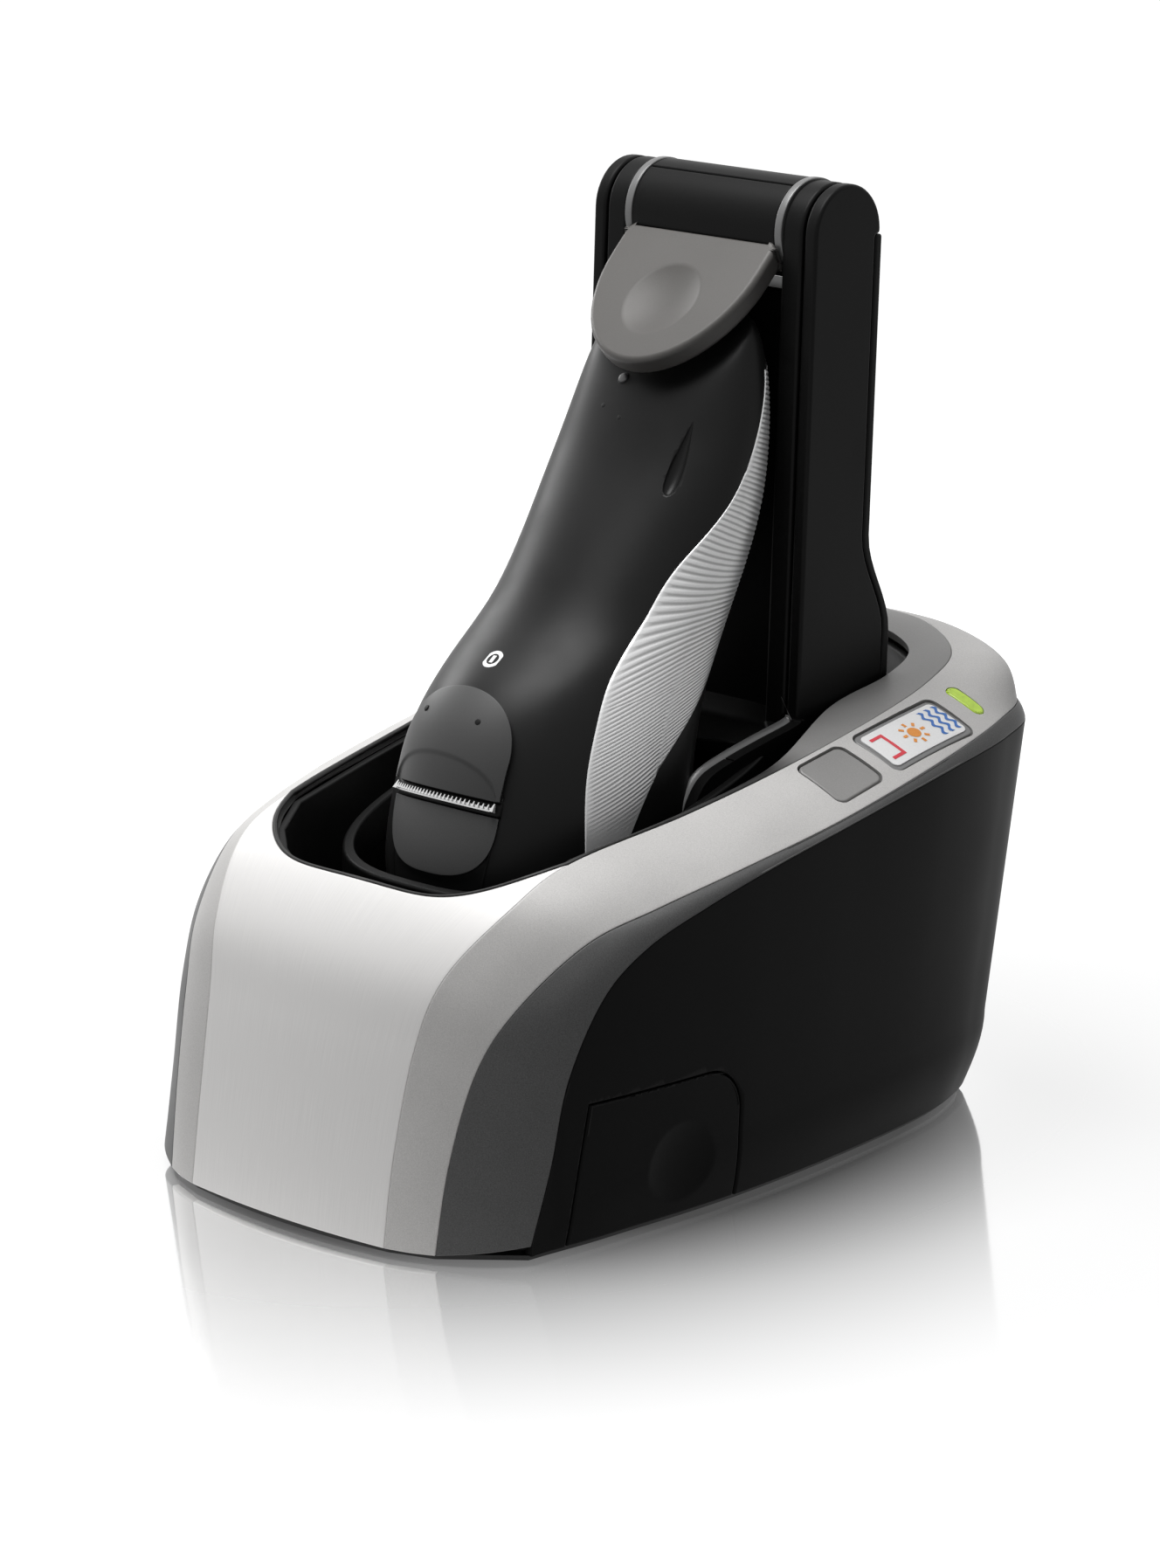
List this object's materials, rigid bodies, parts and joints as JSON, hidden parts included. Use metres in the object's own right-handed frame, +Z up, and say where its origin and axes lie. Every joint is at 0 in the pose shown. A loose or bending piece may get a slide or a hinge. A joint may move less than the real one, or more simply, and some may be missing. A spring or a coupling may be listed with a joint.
{
  "type": "shaver cleaning station",
  "caption": "Table-top cleaning and charging station with a silver and black housing, a tower with a hinged contact cap, a lowering holder and a docked rotary shaver.",
  "frame": {"origin": "on the table, in the middle of the station's outline", "axes": "+Z up, -Y to the silver front panel, +X to the side with the controls"},
  "size_m": [0.1304, 0.1891, 0.2049],
  "materials": {
    "silver_panel": "silver lacquer with a fine vertical brush",
    "silver_frame": "silver lacquer, fine sandy grain",
    "charcoal_trim": "fine speckle",
    "black_housing": "smooth, soft sheen",
    "gray_rim": "satin",
    "black_liner": "matt",
    "button_gray": "satin",
    "display": "printed window",
    "light_lens": "clear tinted",
    "circuit_board": "solder mask",
    "black_fitting": "matt",
    "gray_fitting": "matt",
    "led": "clear",
    "tower_black": "soft sheen",
    "steel": "plain",
    "rubber": "matt",
    "gear_plastic": "natural moulding",
    "chrome_ring": "polished",
    "cap_gray": "satin warm gray",
    "contact_brass": "polished",
    "chamber_plastic": "satin",
    "shaver_gray": "satin",
    "silver_inlay": "fine curved ribs",
    "shaving_steel": "ground"
  },
  "bodies": {
    "chamber": {"chamber": "chamber_plastic", "feet": "rubber"},
    "station": {"front_panel": "silver_panel", "top_frame": "silver_frame", "corner_trim": "charcoal_trim", "housing": "black_housing", "inner_rim": "gray_rim", "pocket_liner": "black_liner", "display_window": "display", "charge_light": "light_lens", "circuit_board": "circuit_board", "button_switch": "black_fitting", "display_leds": "led", "tower_frame": "tower_black", "tower_cover": "tower_black", "station_floor": "black_fitting", "base_screws": "steel", "gear_bracket": "gray_fitting", "lift_motor": "steel", "mains_socket": "black_fitting", "socket_pins": "steel", "splash_seal": "rubber"},
    "on_off_button": {"on_off_button": "button_gray"},
    "release_right": {"release_button_right": "black_housing"},
    "release_left": {"release_button_left": "black_housing"},
    "holder": {"holder": "tower_black", "head_ring": "tower_black", "shaver_rest": "rubber", "lift_rack": "gear_plastic", "hinge_rings": "chrome_ring", "hinge_pin": "steel", "shaver_body": "shaver_gray", "shaver_side_panels": "silver_inlay", "head_cover": "shaver_gray", "shaving_units": "shaving_steel"},
    "cap": {"cap_barrel": "tower_black", "cap": "cap_gray", "contact_block": "black_fitting", "contact_pins": "contact_brass"},
    "pinion": {"drive_pinion": "gear_plastic"},
    "motor_gear": {"motor_gear": "gear_plastic"},
    "trimmer": {"trimmer_housing": "shaver_gray", "trimmer_blade": "shaving_steel"}
  },
  "joints": [
    {"name": "station_lift_off", "type": "slide", "parent": "chamber", "child": "station", "axis": [0, 0, 1], "range_m": [0, 0.06]},
    {"name": "on_off_press", "type": "slide", "parent": "station", "child": "on_off_button", "axis": [-0.4487, 0.1505, -0.8809], "range_m": [0, 0.001], "stiffness_N_per_m": 400, "springref_m": -0.0003},
    {"name": "release_right_press", "type": "slide", "parent": "station", "child": "release_right", "axis": [-1, 0, 0], "range_m": [0, 0.002], "stiffness_N_per_m": 400, "springref_m": -0.0005},
    {"name": "release_left_press", "type": "slide", "parent": "station", "child": "release_left", "axis": [1, 0, 0], "range_m": [0, 0.002], "stiffness_N_per_m": 400, "springref_m": -0.0005},
    {"name": "holder_lift", "type": "slide", "parent": "station", "child": "holder", "axis": [0, 0.0419, 0.9991], "range_m": [-0.024, 0]},
    {"name": "cap_hinge", "type": "hinge", "parent": "holder", "child": "cap", "pos_m": [0, 0.046, 0.1938], "axis": [-1, 0, 0], "range_deg": [0, 75]},
    {"name": "pinion_spin", "type": "hinge", "parent": "station", "child": "pinion", "pos_m": [0, 0.05735, 0.04319], "axis": [1, 0, 0], "range_deg": [0, 175]},
    {"name": "motor_gear_spin", "type": "hinge", "parent": "station", "child": "motor_gear", "pos_m": [0.008, 0.06625, 0.02618], "axis": [1, 0, 0], "range_deg": [-520, 0]},
    {"name": "trimmer_swing", "type": "hinge", "parent": "holder", "child": "trimmer", "pos_m": [0, -0.0301, 0.1084], "axis": [-1, 0, 0], "range_deg": [0, 18]}
  ],
  "couplings": [
    {"joint": "pinion_spin", "follows": "holder_lift", "rad_per_m": -125},
    {"joint": "motor_gear_spin", "follows": "holder_lift", "rad_per_m": 375}
  ]
}
